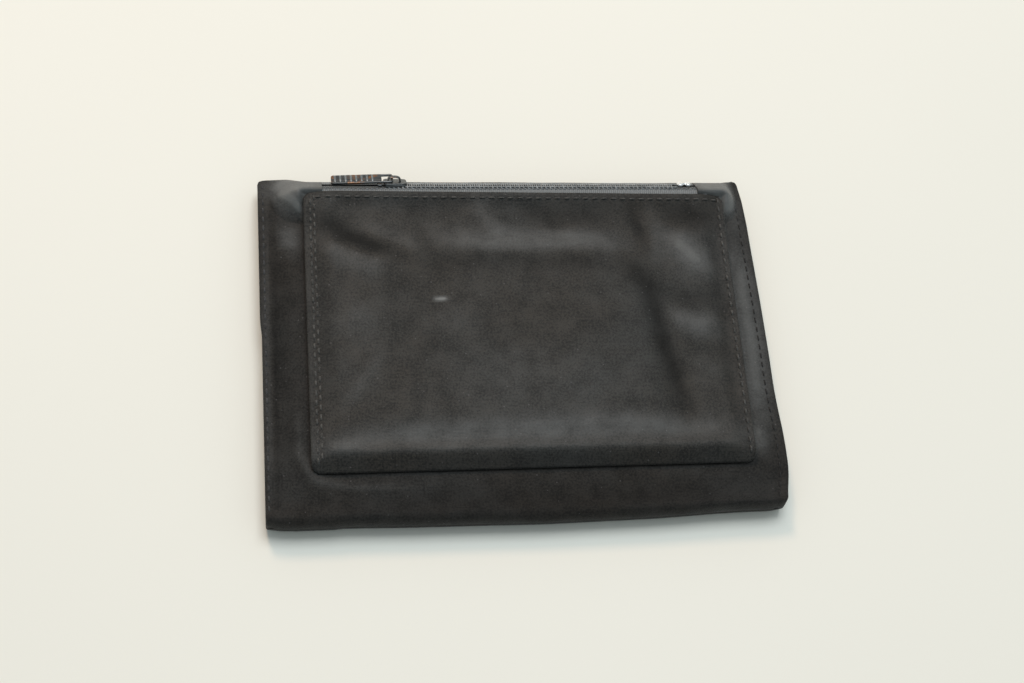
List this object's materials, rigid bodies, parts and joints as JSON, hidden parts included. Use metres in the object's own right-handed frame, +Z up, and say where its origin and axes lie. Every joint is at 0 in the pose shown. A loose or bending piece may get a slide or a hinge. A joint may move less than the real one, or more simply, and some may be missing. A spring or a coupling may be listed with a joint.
{
  "type": "passport holder",
  "caption": "Folding nylon passport holder with a gusseted zip pocket on its cover and open pockets for a passport and cards inside.",
  "frame": {"origin": "middle of the bottom of the closed holder's box, on the surface it lies on", "axes": "+X along the fold, to the right as seen from the front pocket with the zipper at the far side; +Y from the fold to the open edge; +Z up, out of the front pocket"},
  "size_m": [0.15, 0.109, 0.015],
  "materials": {
    "shell_nylon": "satin nylon twill",
    "pocket_nylon": "satin nylon twill",
    "lining_fabric": "plain woven polyester",
    "binding": "folded tape",
    "board": "matt polyethylene board",
    "hook_and_loop": "hook and loop pile",
    "zipper_tape": "herringbone tape",
    "zipper_coil": "nylon coil",
    "slider_metal": "worn dark lacquer over brass",
    "stop_metal": "bright crimped"
  },
  "bodies": {
    "back": {"back_shell": "shell_nylon", "back_stiffener": "board", "back_lining": "lining_fabric", "passport_pocket_panel": "lining_fabric", "passport_pocket_gusset": "lining_fabric", "passport_pocket_hem": "binding", "loop_strip": "hook_and_loop"},
    "spine": {"spine_shell": "shell_nylon", "spine_lining": "lining_fabric"},
    "cover": {"cover_shell": "shell_nylon", "cover_stiffener": "board", "cover_lining": "lining_fabric", "slip_pocket_panel": "lining_fabric", "slip_pocket_seam": "binding", "card_pocket_panel": "lining_fabric", "card_pocket_seam": "binding", "hook_strip": "hook_and_loop", "front_pocket_panel": "pocket_nylon", "front_pocket_gusset": "pocket_nylon", "front_pocket_hem": "binding", "zipper_end_patches": "shell_nylon", "zipper_tape_front": "zipper_tape", "zipper_tape_back": "zipper_tape", "zipper_coil_front": "zipper_coil", "zipper_coil_back": "zipper_coil", "zipper_bottom_stop": "stop_metal", "zipper_top_stops": "stop_metal"},
    "slider": {"slider_body": "slider_metal"},
    "pull": {"pull_link": "slider_metal", "pull_tab": "slider_metal"}
  },
  "joints": [
    {"name": "spine_fold", "type": "hinge", "parent": "back", "child": "spine", "pos_m": [0, -0.0545, 0], "axis": [1, 0, 0], "range_deg": [0, 50]},
    {"name": "cover_fold", "type": "hinge", "parent": "spine", "child": "cover", "pos_m": [0, -0.0545, 0.0092], "axis": [1, 0, 0], "range_deg": [0, 130]},
    {"name": "slider_travel", "type": "slide", "parent": "cover", "child": "slider", "axis": [1, 0, 0], "range_m": [0, 0.084]},
    {"name": "pull_swing", "type": "hinge", "parent": "slider", "child": "pull", "pos_m": [-0.0355, 0.05209, 0.01304], "axis": [0, 0.7264, -0.6873], "range_deg": [0, 180]}
  ],
  "couplings": [
    {"joint": "cover_fold", "follows": "spine_fold", "ratio": 2.6}
  ]
}
